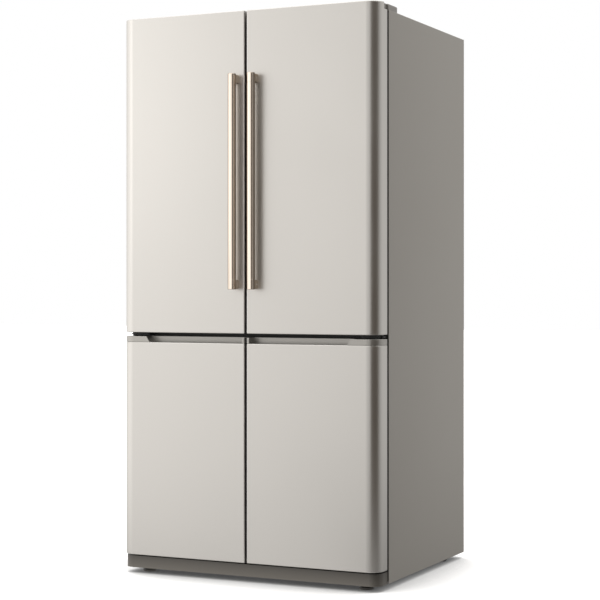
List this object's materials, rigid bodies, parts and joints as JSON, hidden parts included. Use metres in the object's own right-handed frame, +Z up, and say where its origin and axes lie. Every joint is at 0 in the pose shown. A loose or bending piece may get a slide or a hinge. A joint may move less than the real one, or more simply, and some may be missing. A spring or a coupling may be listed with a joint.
{
  "type": "french door refrigerator",
  "caption": "Free-standing refrigerator with paired fridge doors over paired freezer doors, bar handles, pocket pulls, shelves and drawers.",
  "frame": {"origin": "centre of the bounding box's footprint, on the floor", "axes": "+X to the right seen from the front, +Y to the back, +Z up"},
  "size_m": [0.908, 0.801, 1.8],
  "materials": {
    "door_steel": "satin metallic pearl",
    "cabinet_paint": "satin",
    "handle_bronze": "polished champagne bronze",
    "pull_grey": "satin",
    "cap_grey": "satin",
    "liner_white": "glossy",
    "foam": "matte foam",
    "gasket_grey": "matte",
    "clear_plastic": "clear",
    "shelf_glass": "clear",
    "trim_silver": "satin anodised",
    "hinge_black": "satin black",
    "galvanised": "galvanised",
    "cover_grey": "satin",
    "plinth_grey": "satin",
    "foot_black": "moulded",
    "roller_black": "moulded",
    "compressor_black": "gloss black",
    "coil_metal": "bare fins",
    "fan_plastic": "moulded",
    "inlet_black": "moulded"
  },
  "bodies": {
    "cabinet": {"cabinet_outer_shell": "cabinet_paint", "cabinet_back_panel": "galvanised", "cabinet_front_frame": "cabinet_paint", "cabinet_base_pan": "galvanised", "cabinet_insulation": "foam", "fridge_liner": "liner_white", "freezer_liners": "liner_white", "kick_plate": "plinth_grey", "top_hinge_brackets": "hinge_black", "top_hinge_covers": "cover_grey", "middle_hinge_brackets": "hinge_black", "bottom_hinge_brackets": "hinge_black", "glass_shelves": "shelf_glass", "shelf_trims": "trim_silver", "air_duct": "liner_white", "freezer_back_panels": "liner_white", "evaporator_coil": "coil_metal", "compressor": "compressor_black", "condenser_coil": "coil_metal", "condenser_fan_shroud": "fan_plastic", "machine_cover": "galvanised", "power_inlet": "inlet_black"},
    "condenser_fan": {"condenser_fan": "fan_plastic"},
    "front_foot_left": {"front_foot_left": "foot_black"},
    "rear_roller_left": {"rear_roller_left": "roller_black"},
    "crisper_drawer_left": {"crisper_drawer_left": "clear_plastic"},
    "freezer_drawer_upper_left": {"freezer_drawer_upper_left": "clear_plastic"},
    "freezer_drawer_lower_left": {"freezer_drawer_lower_left": "clear_plastic"},
    "upper_door_left": {"upper_door_skin_left": "door_steel", "upper_door_core_left": "foam", "upper_door_end_caps_left": "cap_grey", "upper_door_liner_left": "liner_white", "upper_door_gasket_left": "gasket_grey", "handle_tube_left": "handle_bronze", "handle_ends_left": "handle_bronze", "door_bins_left": "clear_plastic"},
    "lower_door_left": {"lower_door_skin_left": "door_steel", "lower_door_core_left": "foam", "lower_door_end_caps_left": "pull_grey", "lower_door_liner_left": "liner_white", "lower_door_gasket_left": "gasket_grey"},
    "front_foot_right": {"front_foot_right": "foot_black"},
    "rear_roller_right": {"rear_roller_right": "roller_black"},
    "crisper_drawer_right": {"crisper_drawer_right": "clear_plastic"},
    "freezer_drawer_upper_right": {"freezer_drawer_upper_right": "clear_plastic"},
    "freezer_drawer_lower_right": {"freezer_drawer_lower_right": "clear_plastic"},
    "upper_door_right": {"upper_door_skin_right": "door_steel", "upper_door_core_right": "foam", "upper_door_end_caps_right": "cap_grey", "upper_door_liner_right": "liner_white", "upper_door_gasket_right": "gasket_grey", "handle_tube_right": "handle_bronze", "handle_ends_right": "handle_bronze", "door_bins_right": "clear_plastic"},
    "lower_door_right": {"lower_door_skin_right": "door_steel", "lower_door_core_right": "foam", "lower_door_end_caps_right": "pull_grey", "lower_door_liner_right": "liner_white", "lower_door_gasket_right": "gasket_grey"},
    "hinged_mullion": {"hinged_mullion": "cap_grey"}
  },
  "joints": [
    {"name": "upper_door_left_hinge", "type": "hinge", "parent": "cabinet", "child": "upper_door_left", "pos_m": [-0.436, -0.3025, 1.2915], "axis": [0, 0, -1], "range_deg": [0, 100]},
    {"name": "lower_door_left_hinge", "type": "hinge", "parent": "cabinet", "child": "lower_door_left", "pos_m": [-0.436, -0.3025, 0.416], "axis": [0, 0, -1], "range_deg": [0, 100]},
    {"name": "crisper_drawer_left_slide", "type": "slide", "parent": "cabinet", "child": "crisper_drawer_left", "axis": [0, -1, 0], "range_m": [0, 0.35]},
    {"name": "freezer_drawer_upper_left_slide", "type": "slide", "parent": "cabinet", "child": "freezer_drawer_upper_left", "axis": [0, -1, 0], "range_m": [0, 0.35]},
    {"name": "freezer_drawer_lower_left_slide", "type": "slide", "parent": "cabinet", "child": "freezer_drawer_lower_left", "axis": [0, -1, 0], "range_m": [0, 0.35]},
    {"name": "front_foot_left_screw", "type": "hinge", "parent": "cabinet", "child": "front_foot_left", "pos_m": [-0.385, -0.2925, 0.02], "axis": [0, 0, 1], "continuous": true},
    {"name": "rear_roller_left_axle", "type": "hinge", "parent": "cabinet", "child": "rear_roller_left", "pos_m": [-0.415, 0.2955, 0.018], "axis": [1, 0, 0], "continuous": true},
    {"name": "upper_door_right_hinge", "type": "hinge", "parent": "cabinet", "child": "upper_door_right", "pos_m": [0.436, -0.3025, 1.2915], "axis": [0, 0, 1], "range_deg": [0, 100]},
    {"name": "lower_door_right_hinge", "type": "hinge", "parent": "cabinet", "child": "lower_door_right", "pos_m": [0.436, -0.3025, 0.416], "axis": [0, 0, 1], "range_deg": [0, 100]},
    {"name": "crisper_drawer_right_slide", "type": "slide", "parent": "cabinet", "child": "crisper_drawer_right", "axis": [0, -1, 0], "range_m": [0, 0.35]},
    {"name": "freezer_drawer_upper_right_slide", "type": "slide", "parent": "cabinet", "child": "freezer_drawer_upper_right", "axis": [0, -1, 0], "range_m": [0, 0.35]},
    {"name": "freezer_drawer_lower_right_slide", "type": "slide", "parent": "cabinet", "child": "freezer_drawer_lower_right", "axis": [0, -1, 0], "range_m": [0, 0.35]},
    {"name": "front_foot_right_screw", "type": "hinge", "parent": "cabinet", "child": "front_foot_right", "pos_m": [0.385, -0.2925, 0.02], "axis": [0, 0, 1], "continuous": true},
    {"name": "rear_roller_right_axle", "type": "hinge", "parent": "cabinet", "child": "rear_roller_right", "pos_m": [0.415, 0.2955, 0.018], "axis": [1, 0, 0], "continuous": true},
    {"name": "hinged_mullion_pivot", "type": "hinge", "parent": "upper_door_left", "child": "hinged_mullion", "pos_m": [-0.024, -0.2715, 1.262], "axis": [0, 0, 1], "range_deg": [-90, 0]},
    {"name": "condenser_fan_spin", "type": "hinge", "parent": "cabinet", "child": "condenser_fan", "pos_m": [0.0375, 0.3005, 0.122], "axis": [1, 0, 0], "continuous": true}
  ],
  "couplings": [
    {"joint": "crisper_drawer_left_slide", "follows": "upper_door_left_hinge", "m_per_rad": 0.091673},
    {"joint": "freezer_drawer_upper_left_slide", "follows": "lower_door_left_hinge", "m_per_rad": 0.091673},
    {"joint": "freezer_drawer_lower_left_slide", "follows": "lower_door_left_hinge", "m_per_rad": 0.091673},
    {"joint": "crisper_drawer_right_slide", "follows": "upper_door_right_hinge", "m_per_rad": 0.091673},
    {"joint": "freezer_drawer_upper_right_slide", "follows": "lower_door_right_hinge", "m_per_rad": 0.091673},
    {"joint": "freezer_drawer_lower_right_slide", "follows": "lower_door_right_hinge", "m_per_rad": 0.091673}
  ]
}
